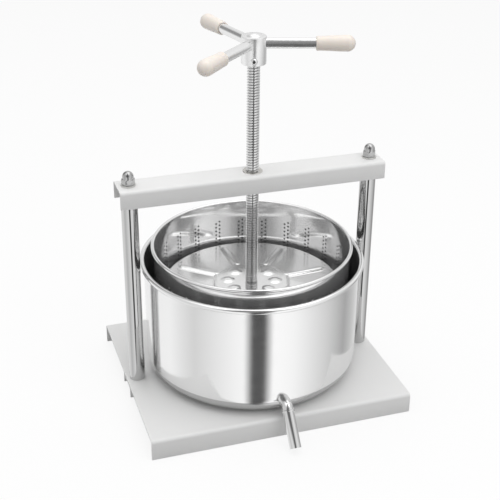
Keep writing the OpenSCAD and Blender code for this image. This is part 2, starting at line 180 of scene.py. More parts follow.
def floor_material():
    """A white floor: the camera sees it mostly as plain white, with some of the press's shadow."""
    mat, nt, b = new_material("studio_floor")
    b.inputs["Base Color"].default_value = rgb(0.55)
    b.inputs["Roughness"].default_value = 0.9
    b.inputs["Specular IOR Level"].default_value = 0.1
    shaded = nt.nodes.new("ShaderNodeBsdfDiffuse")
    shaded.inputs["Color"].default_value = rgb(0.9)
    white = nt.nodes.new("ShaderNodeEmission")
    white.inputs["Color"].default_value = rgb(1)
    white.inputs["Strength"].default_value = 1.0
    seen = mix_shaders(nt, 0.85, shaded.outputs["BSDF"], white.outputs["Emission"])
    both = mix_shaders(nt, light_path(nt, "Is Camera Ray"), b.outputs["BSDF"], seen)
    nt.links.new(both, nt.nodes["Material Output"].inputs["Surface"])
    return mat


# On drawn pots the finish is squeezed along Z, so that it runs round the wall.
ROUND = (1, 1, 4)
METALS = {
    "chrome_tube": dict(base=0.82, rough=(0.05, 0.10)),
    "zinc_steel": dict(base=0.66, rough=(0.28, 0.40), tint=(1.0, 0.995, 0.97)),
    "nut_steel": dict(base=0.62, rough=(0.25, 0.36), tint=(1.0, 0.98, 0.94)),
    "stainless_sheet": dict(base=0.87, rough=(0.10, 0.14), scale=ROUND, share=0.92),
    # The bucket's inner wall gets a darker copy of its steel: painted shade for the gap between bucket and
    # basket.
    "bucket_inside_painted_shade": dict(base=0.55, rough=(0.18, 0.26), share=0.88),
    # Near-black walls for the basket's holes: painted shade, so that the holes look dark.
    "hole_walls_painted_shade": dict(base=0.10, rough=(0.35, 0.5), share=0.8),
    "stainless_basket": dict(base=0.84, rough=(0.08, 0.12), scale=ROUND, share=0.84),
    "stainless_plate": dict(base=0.88, rough=(0.10, 0.16), share=0.84),
    "stainless_tube": dict(base=0.72, rough=(0.02, 0.04)),
    "chrome_nut": dict(base=0.46, rough=(0.08, 0.14)),
    "chrome_arm": dict(base=0.86, rough=(0.08, 0.14), share=0.86),
    "chrome_post": dict(base=0.58, rough=(0.04, 0.08)),
    "turned_steel": dict(base=0.5, rough=(0.3, 0.42)),
    "screw_steel": dict(base=0.74, rough=(0.13, 0.19)),
    "satin_hub": dict(base=0.88, rough=(0.26, 0.34), share=0.94),
}
MAT = {name: metal(name, **look) for name, look in METALS.items()}
MAT["powder_coat"] = powder_coat()
MAT["ivory_grip"] = grip_plastic()

# Placing a piece.

SLOT_OF = {s["node"]: s["material_slot"] for s in frame["record"]["subparts"]}
BODY_OF = {n: b for b, ns in frame["record"]["behaviour"]["bodies"].items() for n in ns}


def place(bm, nodes, matrix=None, finish=None):
    """Makes a piece, named after the first of the CAD nodes that it shows, and ties it to them.

    The bmesh is in millimetres about the press axis, before the matrix. A finish other than the
    record's changes the look alone.
    """
    name = nodes[0] + "_visual"
    bmesh.ops.recalc_face_normals(bm, faces=bm.faces)
    bmesh.ops.scale(bm, vec=(MM, MM, MM), verts=bm.verts)
    if matrix is not None:
        bmesh.ops.transform(bm, matrix=matrix, verts=bm.verts)
    for f in bm.faces:
        f.smooth = True
    mesh = bpy.data.meshes.new(name)
    bm.to_mesh(mesh)
    bm.free()
    obj = bpy.data.objects.new(name, mesh)
    bpy.context.scene.collection.objects.link(obj)
    obj.location = AXIS
    slot = SLOT_OF[nodes[0]]
    mesh.materials.append(MAT[finish or slot])
    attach(obj, BODY_OF[nodes[0]])
    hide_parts(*nodes)
    return obj


def paint_faces(obj, finish, chosen):
    """Gives a second finish to the faces whose middle is chosen by radius and height, in millimetres."""
    obj.data.materials.append(MAT[finish])
    for f in obj.data.polygons:
        x, y, z = f.center / MM
        if chosen(math.hypot(x, y), z):
            f.material_index = 1


# Mesh helpers. Angles of arcs and limits are in degrees, azimuths in radians.

TURNED_LIMIT = 28.0  # turned pieces keep edges that are sharper than this
DRAWN_LIMIT = 50.0   # drawn and pressed pieces, whose bends are all meant to look soft


def arc(cx, cy, r, a0, a1, n):
    """Points of an arc from a0 to a1, ends included."""
    angles = [math.radians(a0 + (a1 - a0) * i / n) for i in range(n + 1)]
    return [(cx + r * math.cos(a), cy + r * math.sin(a)) for a in angles]


def circle(n):
    return [TAU * i / n for i in range(n)]


def polar(r, a, z):
    return (r * math.cos(a), r * math.sin(a), z)


def turned_ring(bm, azimuths, r, z):
    return [bm.verts.new(polar(r, a, z)) for a in azimuths]


def join_rings(bm, a, b):
    """Joins two rings by faces. A ring of one vertex is a pole, and two poles have no face between them."""
    n = max(len(a), len(b))
    for i in range(n if n > 1 else 0):
        j = (i + 1) % n
        if len(a) == 1:
            bm.faces.new((a[0], b[i], b[j]))
        elif len(b) == 1:
            bm.faces.new((a[i], a[j], b[0]))
        else:
            bm.faces.new((a[i], a[j], b[j], b[i]))


def edges_over(bm, limit):
    """Edges between faces that meet at more than the limit."""
    bm.normal_update()
    c = math.cos(math.radians(limit))
    return [e for e in bm.edges
            if len(e.link_faces) == 2 and e.link_faces[0].normal.dot(e.link_faces[1].normal) < c]


def mark_sharp(bm, limit):
    for e in edges_over(bm, limit):
        e.smooth = False


def merge(bm, part):
    """Adds one bmesh to another and frees it."""
    mesh = bpy.data.meshes.new("part")
    part.to_mesh(mesh)
    part.free()
    bm.from_mesh(mesh)
    bpy.data.meshes.remove(mesh)


def revolve(profile, seg=96, closed=False, radius=None):
    """Turns (r, z) points about Z. radius(r, z, a), if given, says each vertex's radius by its azimuth."""
    bm = bmesh.new()
    rings = []
    for r, z in profile:
        if r < 1e-6:
            rings.append([bm.verts.new((0, 0, z))])
        elif radius:
            rings.append([bm.verts.new(polar(radius(r, z, a), a, z)) for a in circle(seg)])
        else:
            rings.append(turned_ring(bm, circle(seg), r, z))
    for a, b in zip(rings, rings[1:]):
        join_rings(bm, a, b)
    if closed:
        join_rings(bm, rings[-1], rings[0])
    return bm


def lathe_piece(node, profile, seg=96, closed=False, matrix=None, limit=TURNED_LIMIT,
                radius=None, finish=None):
    bm = revolve(profile, seg, closed, radius)
    bmesh.ops.recalc_face_normals(bm, faces=bm.faces)
    mark_sharp(bm, limit)
    return place(bm, [node], matrix, finish)


def sleeve(bore, r, z0, z1, broken):
    """Profile of a plain ring or tube whose two outer edges are broken."""
    return [(bore, z0), (r - broken, z0), (r, z0 + broken), (r, z1 - broken), (r - broken, z1), (bore, z1)]


def cap_points(r, height, z, inner, n):
    """Profile of a ball's cap that stands on z, r wide and height high, from its foot to the inner radius."""
    ball = (r ** 2 + height ** 2) / (2 * height)
    xs = [r - (r - inner) * i / (n - 1) for i in range(n)]
    return [(x, z + height - ball + math.sqrt(ball ** 2 - x ** 2)) for x in xs]


def outward(turn, z):
    """Lays a piece that is made along Z out from the axis, turned by so many degrees, at a height."""
    level = Matrix.Translation((0, 0, z * MM))
    return level @ Matrix.Rotation(math.radians(turn), 4, "Z") @ Matrix.Rotation(math.radians(90), 4, "Y")


def smooth(t):
    t = min(max(t, 0.0), 1.0)
    return t * t * (3 - 2 * t)


FACE_SHARE = 0.515  # radius of a nut's face by its width across flats


def hexagon(flats, chamfer_top=None, chamfer_low=None):
    """A radius function that cuts a hexagon, its corners broken by a 45 degree cone at one or both ends."""
    face = flats * FACE_SHARE

    def radius(r, z, a):
        side = flats / 2 / math.cos(a % (TAU / 6) - TAU / 12)
        q = min(r, side)
        if chamfer_top is not None:
            q = min(q, face + (chamfer_top - z))
        if chamfer_low is not None:
            q = min(q, face + (z - chamfer_low))
        return q
    return radius


# Frame of the press: folded sheets, posts, nuts and washers.

SHEET_T, FOLD_R, CUT_BREAK = 2.0, 4.0, 0.35
CUT_LIMIT, FOLDED_LIMIT = 40.0, 35.0
POST_WALL, POST_BREAK = 1.2, 0.3
WASHER_R, WASHER_BORE, WASHER_BREAK = 8.0, 4.2, 0.25
CAP_FLATS, CAP_HEX_H, CAP_NECK_H = 13.0, 6.5, 2.0
NUT_FLATS = 27.0


def channel_outline(width, height):
    """The section of a folded channel: its top at 0, its flanges reaching down."""
    w, r, t, n = width / 2, FOLD_R, SHEET_T, 8
    outer = [(-w, -height)] + arc(-w + r, -r, r, 180, 90, n) + arc(w - r, -r, r, 90, 0, n) + [(w, -height)]
    inner = [(w - t, -height)] + arc(w - r, -r, r - t, 0, 90, n)
    inner += arc(-w + r, -r, r - t, 90, 180, n) + [(-w + t, -height)]
    return outer + inner


def folded_channel(node):
    """A channel along X that fills its node's box, with its cut edges lightly broken."""
    (length, width, height), _, (_, _, top) = size_of(node)
    bm = bmesh.new()
    pts = channel_outline(width, height)
    ends = [[bm.verts.new((x, y, top + z)) for y, z in pts] for x in (-length / 2, length / 2)]
    join_rings(bm, *ends)
    # The end faces are strips from the outer line to the inner one.
    n = len(pts)
    for e in ends:
        for i in range(n // 2 - 1):
            bm.faces.new((e[i], e[i + 1], e[n - 2 - i], e[n - 1 - i]))
    bmesh.ops.recalc_face_normals(bm, faces=bm.faces)
    bmesh.ops.bevel(bm, geom=edges_over(bm, CUT_LIMIT), offset=CUT_BREAK, segments=2, profile=0.5,
                    affect="EDGES")
    mark_sharp(bm, FOLDED_LIMIT)
    return place(bm, [node])


for node in ("base_plate", "base_channel", "top_beam"):
    folded_channel(node)
BASE_D = size_of("base_plate")[0][1]
BEAM_TOP = size_of("top_beam")[2][2]

for node in ("left_post", "right_post"):
    size, low, high = size_of(node)
    middle = (low[0] + high[0]) / 2
    r = size[0] / 2
    lathe_piece(node, sleeve(r - POST_WALL, r, low[2], high[2], POST_BREAK), seg=72, closed=True,
                matrix=Matrix.Translation((middle * MM, 0, 0)), finish="chrome_post")
SPAN = middle  # the right post, which came last
WASHER_T = size_of("beam_washers")[0][2]


def at_both_posts(node, make, finish=None):
    """Joins one small turned piece at each post into one piece."""
    bm = bmesh.new()
    for x in (-SPAN, SPAN):
        part = make()
        bmesh.ops.translate(part, vec=(x, 0, 0), verts=part.verts)
        merge(bm, part)
    bmesh.ops.recalc_face_normals(bm, faces=bm.faces)
    mark_sharp(bm, TURNED_LIMIT)
    return place(bm, [node], finish=finish)


def washer():
    ring = sleeve(WASHER_BORE, WASHER_R, BEAM_TOP, BEAM_TOP + WASHER_T, WASHER_BREAK)
    return revolve(ring, seg=64, closed=True)


def cap_nut():
    """A hexagon with broken corners under a neck and a half ball."""
    foot = BEAM_TOP + WASHER_T
    hex_top = foot + CAP_HEX_H
    neck_top = hex_top + CAP_NECK_H
    r = CAP_FLATS * 0.47
    wide = CAP_FLATS  # anything past the corners, which the hexagon cuts
    shape = [(0, foot), (wide, foot), (wide, foot + 0.4), (wide, hex_top - 1.0), (wide, hex_top - 0.65),
             (wide, hex_top - 0.35), (CAP_FLATS * FACE_SHARE, hex_top),
             (r + 0.25, hex_top), (r, hex_top + 0.25), (r, neck_top)]
    shape += arc(0, neck_top, r, 0, 90, 14)[1:]
    cut = hexagon(CAP_FLATS, chamfer_top=hex_top, chamfer_low=foot - 0.1)
    return revolve(shape, radius=lambda r, z, a: cut(r, z, a) if z <= hex_top + 1e-6 else r)


at_both_posts("beam_washers", washer)
at_both_posts("cap_nuts", cap_nut, finish="chrome_nut")

# The drive nut: a collar in the beam's top and a hexagon under its web.
_, low, high = size_of("drive_nut")
NUT_LOW, NUT_TOP, WEB = low[2], high[2], BEAM_TOP - SHEET_T
BORE_R, MOUTH_R, FACE_R, COLLAR_R = 7.05, 7.6, 13.9, 11.0
WIDE = 40.0  # anything past the hexagon's corners
shape = [(BORE_R, NUT_LOW + 0.5), (MOUTH_R, NUT_LOW), (FACE_R, NUT_LOW), (WIDE, NUT_LOW + 0.8),
         (WIDE, NUT_LOW + 1.6), (WIDE, WEB), (COLLAR_R, WEB), (COLLAR_R, NUT_TOP - 0.3),
         (COLLAR_R - 0.3, NUT_TOP), (MOUTH_R, NUT_TOP), (BORE_R, NUT_TOP - 0.5)]
lathe_piece("drive_nut", shape, closed=True, radius=hexagon(NUT_FLATS, chamfer_low=NUT_LOW))

# Juice bucket.

POT_T = 1.0
size, low, high = size_of("juice_bucket")
B_LOW, B_TOP, B_RIM = low[2], high[2], size[0] / 2
B_BEAD, B_CORNER = 3.0, 24.0
B_R = B_RIM + POT_T - 2 * B_BEAD
BEAD_R, BEAD_Z = B_R - POT_T + B_BEAD, B_TOP - B_BEAD
# Heights at which the plain wall is divided: over the corner and under the bead.
WALL_FOOT, WALL_HEAD = B_LOW + B_CORNER + 40, BEAD_Z - 12
shape = [(0, B_LOW + POT_T), (B_R - B_CORNER, B_LOW + POT_T)]
shape += arc(B_R - B_CORNER, B_LOW + B_CORNER, B_CORNER - POT_T, -90, 0, 18)[1:]
shape += [(B_R - POT_T, WALL_FOOT), (B_R - POT_T, WALL_HEAD)]
shape += arc(BEAD_R, BEAD_Z, B_BEAD, 180, -90, 24)
shape += arc(BEAD_R, BEAD_Z, B_BEAD - POT_T, -90, 180, 18)
shape += [(B_R, WALL_HEAD), (B_R, WALL_FOOT)]
shape += arc(B_R - B_CORNER, B_LOW + B_CORNER, B_CORNER, 0, -90, 18)
shape += [(0, B_LOW)]
bucket = lathe_piece("juice_bucket", shape, seg=192, limit=DRAWN_LIMIT)
# The inner wall, from the floor up to the bead, is painted darker: painted shade for the narrow gap round the
# basket.
paint_faces(bucket, "bucket_inside_painted_shade", lambda r, z: r < B_R - 0.5 and B_LOW + 0.5 < z < BEAD_Z)

# Drain spout: neck, bend and tube in one skin, and its collar.

FALL = math.radians(50.0)
NECK_H, EDGE_GAP, BEND_R = 18.0, 8.0, 7.0
NECK_Z = B_LOW + NECK_H
TUBE_R = size_of("drain_spout")[0][0] / 2
SLEEVE_R = size_of("spout_neck")[0][0] / 2
TABLE_GAP = size_of("drain_spout")[1][2]
ELBOW_Y = BASE_D / 2 + (TUBE_R + EDGE_GAP - NECK_H * math.cos(FALL)) / math.sin(FALL)
SPOUT_L = (NECK_Z - TUBE_R * math.cos(FALL) - TABLE_GAP) / math.sin(FALL)
ELBOW = Vector((0, -ELBOW_Y, NECK_Z))
LEVEL_DIR = Vector((0, -1, 0))
TUBE_DIR = Vector((0, -math.cos(FALL), -math.sin(FALL)))
SLEEVE_END, TUBE_START = 5.6, 6.2


def sweep(points, directions, radii, seg=48):
    """A closed skin through points; every ring stands square to its point's direction."""
    bm = bmesh.new()
    side = Vector((1, 0, 0))
    rings = []
    for p, d, r in zip(points, directions, radii):
        up = side.cross(d).normalized()
        rings.append([bm.verts.new(p + side * (r * math.cos(a)) + up * (r * math.sin(a)))
                      for a in circle(seg)])
    for a, b in zip(rings, rings[1:]):
        join_rings(bm, a, b)
    join_rings(bm, rings[-1], rings[0])
    return bm


def spout_path():
    """Centre line of the spout: neck, a tight bend inside the mitre, and the straight part."""
    points, directions = [Vector((0, -(B_R - 4.0), NECK_Z))], [LEVEL_DIR]
    centre = ELBOW - LEVEL_DIR * (BEND_R * math.tan(FALL / 2)) + Vector((0, 0, -BEND_R))
    for i in range(11):
        a = FALL * i / 10
        points.append(centre + Vector((0, -BEND_R * math.sin(a), BEND_R * math.cos(a))))
        directions.append(Vector((0, -math.cos(a), -math.sin(a))))
    for s in (SLEEVE_END, TUBE_START, SPOUT_L - 0.4, SPOUT_L):
        points.append(ELBOW + TUBE_DIR * s)
        directions.append(TUBE_DIR)
    return points, directions


points, directions = spout_path()
# The sleeve ends under the collar, where the thinner tube begins. The skin goes out along the outer
# side and comes back along the bore, 1 mm inside it.
outer = [SLEEVE_R] * (len(points) - 3) + [TUBE_R, TUBE_R, TUBE_R - 0.25]
bore = [TUBE_R - 0.75] + [TUBE_R - 1.0] * (len(points) - 1)
bm = sweep(points + points[::-1], directions + directions[::-1], outer + bore)
bmesh.ops.recalc_face_normals(bm, faces=bm.faces)
mark_sharp(bm, DRAWN_LIMIT)
place(bm, ["drain_spout", "spout_neck", "spout_elbow"])

COLLAR_S, COLLAR_W, COLLAR_OUT = 5.0, 2.0, 7.7
down_tube = TUBE_DIR.to_track_quat("Z", "X").to_matrix().to_4x4()
lathe_piece("spout_collar", sleeve(TUBE_R - 0.2, COLLAR_OUT, COLLAR_S, COLLAR_S + COLLAR_W, 0.4),
            seg=64, closed=True, matrix=Matrix.Translation(ELBOW * MM) @ down_tube)

# Pressing basket: a drawn pot with 24 pairs of hole columns and a perforated floor.

size, low, high = size_of("pressing_basket")
K_LOW, K_TOP, K_RIM = low[2], high[2], size[0] / 2
K_BEAD, K_CORNER = 2.0, 18.0
K_R = K_RIM + POT_T - 2 * K_BEAD
K_BEAD_R, K_BEAD_Z = K_R - POT_T + K_BEAD, K_TOP - K_BEAD
WALL_RADII = (K_R, K_R - POT_T)
PAIRS, PAIR_GAP, PITCH, HOLE_R, HOLE_SEG = 24, 4.6, 5.0, 1.2, 16
HOLE_START = 25.0  # from the basket's top down to the first row
PANEL_R, PANEL_H = 72.0, 3.0
FLOOR_RINGS, FLOOR_SEG = (20.0, 38.0, 56.0), 12
TURN = math.radians(4.3)
HALF = PAIR_GAP / K_R

# Each pair of columns has three azimuths, and three more divide the plain wall up to the next pair.
AZ = []
for p in range(PAIRS):
    c = TURN + TAU * p / PAIRS
    plain = TAU / PAIRS - 2 * HALF
    AZ += [c - HALF, c, c + HALF] + [c + HALF + plain * k / 4 for k in (1, 2, 3)]
PER_PAIR = len(AZ) // PAIRS
ROWS = int((K_TOP - K_LOW - HOLE_START - K_CORNER - 2 * HOLE_R) / PITCH) + 1
# Levels run down, half a pitch apart, so that the two columns of a pair can be staggered.
LEVELS = [K_TOP - HOLE_START + PITCH / 2 - PITCH / 2 * k for k in range(2 * ROWS + 2)]
LEVELS = [z for z in LEVELS if z > K_LOW + K_CORNER + 0.5]


def add_wall(bm, grid, holes):
    """Fills both sides of the wall between its levels, but for the two cells that each hole takes up."""
    covered = {(i, k + d) for i, k in holes for d in (0, 1)}
    for g in grid:
        for k in range(len(LEVELS) - 1):
            for i in range(len(AZ)):
                j = (i + 1) % len(AZ)
                if (i, k) not in covered:
                    bm.faces.new((g[k][i], g[k][j], g[k + 1][j], g[k + 1][i]))


def add_hole(bm, grid, i, k):
    """Punches a hole through both sides of the wall, between azimuth i and the next and below level k."""
    a, z = (AZ[i] + AZ[i + 1]) / 2, (LEVELS[k] + LEVELS[k + 2]) / 2
    rings = []
    for g, r in zip(grid, WALL_RADII):
        ring = [bm.verts.new(polar(r, a + HOLE_R * math.cos(t) / r, z + HOLE_R * math.sin(t)))
                for t in circle(HOLE_SEG)]
        rings.append(ring)
        # The cell's border from its right middle upwards, each vertex with the nearest one of the hole.
        border = [(g[k + 1][i + 1], 0), (g[k][i + 1], 2), (g[k][i], 6),
                  (g[k + 1][i], 8), (g[k + 2][i], 10), (g[k + 2][i + 1], 14)]
        for (v0, m0), (v1, m1) in zip(border, border[1:] + border[:1]):
            if m1 <= m0:
                m1 += HOLE_SEG
            bm.faces.new([v0, v1] + [ring[m % HOLE_SEG] for m in range(m1, m0 - 1, -1)])
    join_rings(bm, *rings)
    for ring in rings:
        for v, w in zip(ring, ring[1:] + ring[:1]):
            bm.edges.get((v, w)).smooth = False


def continue_rings(bm, last, profile):
    """Adds turned rings that go on from an existing ring of the basket, and returns the last of them."""
    for r, z in profile:
        new = turned_ring(bm, AZ, r, z)
        join_rings(bm, last, new)
        last = new
    return last


def add_floor(bm, ring, z):
    """Fills a ring with a flat disc that has round holes in it, and returns the rings of the holes."""
    edges = [bm.edges.get((v, w)) for v, w in zip(ring, ring[1:] + ring[:1])]
    holes = []
    for n, r in enumerate(FLOOR_RINGS):
        count = 8 * (n + 1)
        for k in range(count):
            x, y, _ = polar(r, TURN + TAU * k / count, 0)
            hole = [bm.verts.new((x + HOLE_R * math.cos(t), y + HOLE_R * math.sin(t), z))
                    for t in circle(FLOOR_SEG)]
            edges += [bm.edges.new((v, w)) for v, w in zip(hole, hole[1:] + hole[:1])]
            holes.append(hole)
    bmesh.ops.triangle_fill(bm, use_beauty=True, use_dissolve=False, edges=edges)
    return holes


def basket_mesh():
    bm = bmesh.new()
    grid = [[turned_ring(bm, AZ, r, z) for z in LEVELS] for r in WALL_RADII]
    # Of each pair column 0 is the higher one, and column 1 stands half a pitch lower.
    holes = [(p * PER_PAIR + column, k) for p in range(PAIRS) for column in (0, 1)
             for k in range(column, len(LEVELS) - 2, 2)]
    add_wall(bm, grid, holes)
    for i, k in holes:
        add_hole(bm, grid, i, k)
    # Rim: from the inner side over the curl and back to the outer side.
    curl = [(K_R - POT_T, K_BEAD_Z - 8)] + arc(K_BEAD_R, K_BEAD_Z, K_BEAD, 180, -90, 20)
    curl += arc(K_BEAD_R, K_BEAD_Z, K_BEAD - POT_T, -90, 180, 14) + [(K_R, K_BEAD_Z - 8)]
    join_rings(bm, continue_rings(bm, grid[1][0], curl), grid[0][0])
    # Corner, foot ring and the slope up to the raised middle, outside and inside.
    outside = arc(K_R - K_CORNER, K_LOW + K_CORNER, K_CORNER, 0, -90, 16)
    outside += [(PANEL_R, K_LOW), (PANEL_R - PANEL_H, K_LOW + PANEL_H)]
    inside = arc(K_R - K_CORNER, K_LOW + K_CORNER, K_CORNER - POT_T, 0, -90, 16)
    inside += [(PANEL_R + 0.5, K_LOW + POT_T), (PANEL_R - PANEL_H + 0.5, K_LOW + PANEL_H + POT_T)]
    under = continue_rings(bm, grid[0][-1], outside)
    over = continue_rings(bm, grid[1][-1], inside)
    floor_low = add_floor(bm, under, K_LOW + PANEL_H)
    floor_top = add_floor(bm, over, K_LOW + PANEL_H + POT_T)
    for a, b in zip(floor_low, floor_top):
        join_rings(bm, a, b)
    mark_sharp(bm, DRAWN_LIMIT)
    return bm


basket = place(basket_mesh(), ["pressing_basket"], finish="stainless_basket")
# The walls of the punched holes lie between the two sides of the wall. They are painted near-black: painted
# shade that makes the holes look dark.
paint_faces(basket, "hole_walls_painted_shade", lambda r, z: K_R - 0.9 < r < K_R - 0.1 and z < K_BEAD_Z - 6)

# Press plate: a pressed disc with an octagonal crown, ribs, bosses and a turned-down edge.

size, low, _ = size_of("press_plate")
P_R, P_LOW = size[0] / 2, low[2]
P_T, P_FOLD, P_HOLE = 1.5, 4.0, 5.2
SHEET_Z = P_LOW + 10.0
RIBS = 8
CROWN_R, CROWN_H, CROWN_EDGE, CROWN_SLOPE = 46.0, 2.0, 1.2, 3.2
RIB_W, RIB_H, RIB_EDGE, RIB_SLOPE = 5.5, 2.45, 0.6, 4.6
RIB_IN, RIB_OUT = 44.0, P_R - 10.0 - RIB_W
BOSS_AT, BOSS_R, BOSS_H, BOSS_SLOPE = 27.0, 8.6, 1.6, 6.0
PLATE_SEG, PLATE_RINGS = 432, 88


def plate_height(r, a):
    """Height of the plate's upper face over its flat: crown, ribs and bosses."""
    step = TAU / RIBS
    k = (a - TURN) % step
    # Across the crown's flat side, and from there along it.
    across, along = r * math.cos(k - step / 2), r * math.sin(k - step / 2)
    apothem = CROWN_R * math.cos(step / 2)
    crown = CROWN_H * smooth((apothem + CROWN_EDGE - across) / CROWN_SLOPE)
    b = min(k, step - k)
    x, y = r * math.cos(b), r * math.sin(b)
    d = math.hypot(x - min(max(x, RIB_IN), RIB_OUT), y)
    rib = RIB_H * smooth((RIB_W + RIB_EDGE - d) / RIB_SLOPE)
    d = math.hypot(across - BOSS_AT, along)
    boss = BOSS_H * smooth((BOSS_R - d) / BOSS_SLOPE)
    return max(crown, rib) + boss


def plate_mesh():
    bm = bmesh.new()
    azimuths = circle(PLATE_SEG)
    radii = [P_HOLE + (P_R - P_FOLD - P_HOLE) * i / PLATE_RINGS for i in range(PLATE_RINGS + 1)]
    top, under = [[[bm.verts.new(polar(r, a, z + plate_height(r, a))) for a in azimuths] for r in radii]
                  for z in (SHEET_Z, SHEET_Z - P_T)]
    edge = arc(P_R - P_FOLD, SHEET_Z - P_FOLD, P_FOLD, 90, 0, 10)[1:]
    edge += [(P_R, P_LOW + 0.3), (P_R - 0.3, P_LOW), (P_R - P_T, P_LOW)]
    edge += reversed(arc(P_R - P_FOLD, SHEET_Z - P_FOLD, P_FOLD - P_T, 90, 0, 8)[1:])
    rings = top + [turned_ring(bm, azimuths, r, z) for r, z in edge] + under[::-1]
    for a, b in zip(rings, rings[1:] + rings[:1]):
        join_rings(bm, a, b)
    mark_sharp(bm, DRAWN_LIMIT)
    return bm


place(plate_mesh(), ["press_plate"], finish="stainless_plate")

# Lead screw: a core with a trapezoidal thread round it.

size, low, high = size_of("lead_screw")
R_SCREW, SCREW_TOP, FOOT_Z = size[0] / 2, high[2], low[2]
CORE_R, FOOT_R = R_SCREW - 1.5, 5.0
SHOULDER = SHEET_Z + CROWN_H + 0.05
LEAD, THREAD_DEPTH, THREAD_LIMIT = 3.0, 1.6, 24.0
# Shares of the lead at which the crest begins and ends and the root begins and ends.
CREST, ROOT = (0.0, 0.34), (0.48, 0.86)
HUB_LOW = size_of("hub")[1][2]


def thread(z0, z1, r_out, r_in, seg=48):
    """The skin of a trapezoidal thread: a helical strip of crest, flank and root, tapered at its ends."""
    bm = bmesh.new()
    marks = [(t, r_out) for t in CREST] + [(t, r_in) for t in ROOT]
    turns = int((z1 - z0) / LEAD) + 2
    columns = []
    for i, a in enumerate(circle(seg)):
        column = []
        for k in range(turns + 1):
            for t, r in marks:
                z = z0 + (k - 1 + i / seg + t) * LEAD
                if z <= z0 or z >= z1:
                    z, r = min(max(z, z0), z1), r_in
                column.append(bm.verts.new(polar(r, a, z)))
        columns.append(column)
    for i in range(seg):
        a, b = columns[i], columns[(i + 1) % seg]
        # After a full turn the strip has climbed one lead.
        off = len(marks) if i == seg - 1 else 0
        for k in range(len(a) - 1 - off):
            bm.faces.new((a[k], a[k + 1], b[k + 1 + off], b[k + off]))
    bmesh.ops.remove_doubles(bm, verts=bm.verts, dist=1e-5)
    bmesh.ops.dissolve_degenerate(bm, edges=bm.edges, dist=1e-5)
    bmesh.ops.holes_fill(bm, edges=[e for e in bm.edges if e.is_boundary], sides=0)
    return bm


bm = thread(SHOULDER + 0.2, HUB_LOW + 3.0, R_SCREW, R_SCREW - THREAD_DEPTH)
bmesh.ops.recalc_face_normals(bm, faces=bm.faces)
mark_sharp(bm, THREAD_LIMIT)
# The core stands a little into the thread's skin, and a thinner end goes on through the thrust block.
core = [(0, FOOT_Z), (FOOT_R - 0.5, FOOT_Z), (FOOT_R, FOOT_Z + 0.5), (FOOT_R, SHOULDER),
        (CORE_R - 0.2, SHOULDER), (CORE_R, SHOULDER + 0.2), (CORE_R, SCREW_TOP), (0, SCREW_TOP)]
merge(bm, revolve(core, seg=48))
place(bm, ["lead_screw"])

# Hub, arms and grips.

size, _, high = size_of("hub")
HUB_R, DOME_R, DOME_H = size[0] / 2, 8.0, 2.6
HUB_TOP = high[2] - DOME_H
HUB_BORE, HUB_BORE_H = 7.1, 14
shape = [(0, HUB_LOW + HUB_BORE_H), (HUB_BORE, HUB_LOW + HUB_BORE_H), (HUB_BORE, HUB_LOW + 0.4),
         (HUB_BORE + 0.4, HUB_LOW), (HUB_R - 1.0, HUB_LOW), (HUB_R - 0.35, HUB_LOW + 0.3),
         (HUB_R, HUB_LOW + 1.0), (HUB_R, HUB_TOP - 1.0), (HUB_R - 0.3, HUB_TOP - 0.3),
         (HUB_R - 1.0, HUB_TOP), (DOME_R + 0.6, HUB_TOP)]
shape += cap_points(DOME_R, DOME_H, HUB_TOP, 0.0, 10)
lathe_piece("hub", shape, limit=30.0)

size, low, high = size_of("right_arm")
ARM_Z, ARM_R = (low[2] + high[2]) / 2, size[2] / 2
ARM_START, REACH = 7.5, 105.0
GRIP_L, GRIP_R, NECK_R, NECK_ROUND = 41.0, 8.5, 7.5, 1.5
ARM_END, GRIP_START = REACH - GRIP_L * 0.25, REACH - GRIP_L

arm_shape = [(0, ARM_START), (ARM_R, ARM_START), (ARM_R, ARM_END - 0.4), (ARM_R - 0.4, ARM_END), (0, ARM_END)]
# A grip: its bore over the arm, a rounded neck, a swell out to its full width and a round end.
grip_shape = [(0, GRIP_START + 2.0), (ARM_R + 0.05, GRIP_START + 2.0), (ARM_R + 0.05, GRIP_START + 0.35),
              (ARM_R + 0.4, GRIP_START)]
grip_shape += arc(NECK_R - NECK_ROUND, GRIP_START + NECK_ROUND, NECK_ROUND, -90, 0, 6)
for i in range(1, 9):
    t = i / 8
    swell = (GRIP_R - NECK_R) * (smooth(t) * 0.98 + 0.02 * t)
    grip_shape.append((NECK_R + swell, GRIP_START + NECK_ROUND + (GRIP_L - GRIP_R - NECK_ROUND) * t))
grip_shape += arc(0, REACH - GRIP_R, GRIP_R, 0, 90, 20)[1:]
for side, turn in (("right", -16.5), ("front", -136.5), ("back", 103.5)):
    lathe_piece(side + "_arm", arm_shape, seg=64, matrix=outward(turn, ARM_Z), finish="chrome_arm")
    lathe_piece(side + "_grip", grip_shape, seg=72, matrix=outward(turn, ARM_Z), limit=40.0)

# Set screw of the hub: a shank, a button head and a socket.
SHANK_R, HEAD_R, HEAD_H, SOCKET_R = 2.4, 3.7, 2.4, 1.73
SEAT = HUB_R + 0.05
shape = [(0, SEAT - 4), (SHANK_R, SEAT - 4), (SHANK_R, SEAT), (HEAD_R, SEAT)]
shape += cap_points(HEAD_R, HEAD_H, HUB_R, SOCKET_R + 0.02, 9)
shape += [(SOCKET_R, HUB_R + 2.0), (SOCKET_R, HUB_R + 1.2), (0, HUB_R + 1.2)]
lathe_piece("hub_set_screw", shape, seg=48, matrix=outward(-106.0, HUB_LOW + 5.5), limit=35.0)

# CAD nodes that stay as they are: hidden fasteners and the thrust parts.
for node in ("left_tie_rod", "right_tie_rod", "foot_nuts", "foot_washers",
             "thrust_block", "retaining_washer", "retaining_nut"):
    o = frame["nodes"][node]
    o.data.materials.clear()
    o.data.materials.append(MAT[SLOT_OF[node]])

# Studio: floor, lamps and world.

